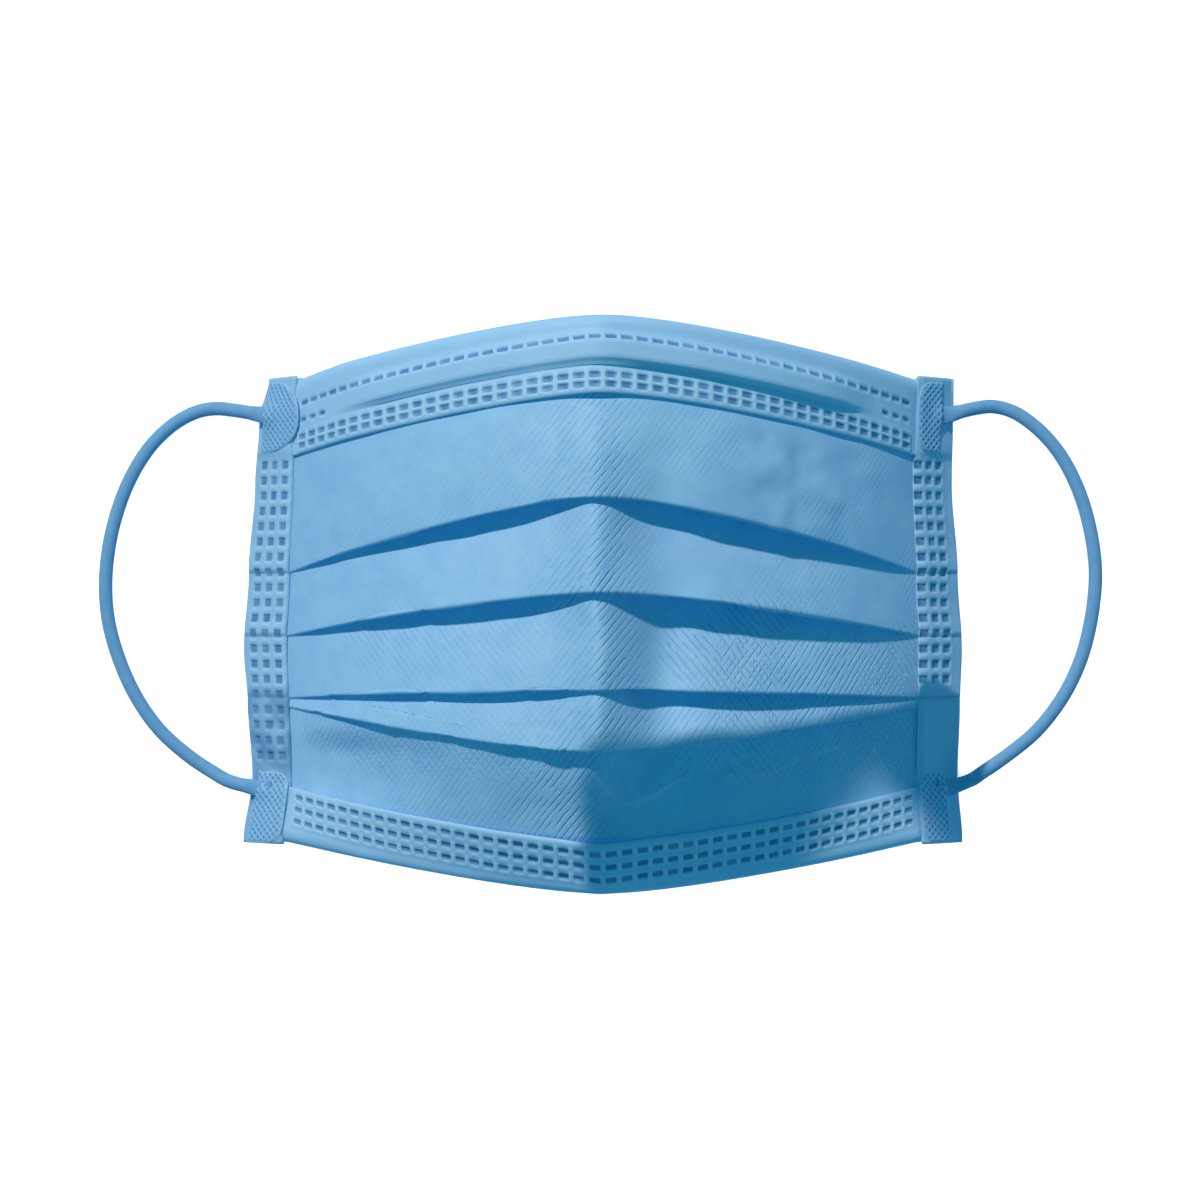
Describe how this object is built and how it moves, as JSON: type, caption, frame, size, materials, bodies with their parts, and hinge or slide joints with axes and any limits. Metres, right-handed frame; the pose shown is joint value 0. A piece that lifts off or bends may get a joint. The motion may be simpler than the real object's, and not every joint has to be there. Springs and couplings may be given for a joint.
{
  "type": "surgical face mask",
  "caption": "Pleated three-ply surgical face mask, bowed open, with a wired nose hem, side bindings and round elastic ear loops.",
  "frame": {"origin": "on the table, under the middle of the mask without its ear loops", "axes": "+X across the mask to the picture's right, +Y towards the nose edge, +Z out of the mask's front, away from the wearer's face"},
  "size_m": [0.2071, 0.1151, 0.0497],
  "materials": {
    "cloth": "light blue spunbond non-woven, soft satin sheen",
    "hem": "light blue spunbond non-woven with rows of heat-pressed weld marks",
    "weld": "pressed and partly glazed non-woven with a diamond knurl",
    "elastic": "fine knitted elastic, matt",
    "wire": "matt white plastic"
  },
  "bodies": {
    "root": {"pleated_panel": "cloth", "top_hem": "hem", "bottom_hem": "hem", "nose_wire": "wire", "side_binding_left": "hem", "side_binding_right": "hem", "ear_loop_left": "elastic", "ear_loop_right": "elastic", "loop_weld_top_left": "weld", "loop_weld_top_right": "weld", "loop_weld_bottom_left": "weld", "loop_weld_bottom_right": "weld"}
  },
  "joints": []
}
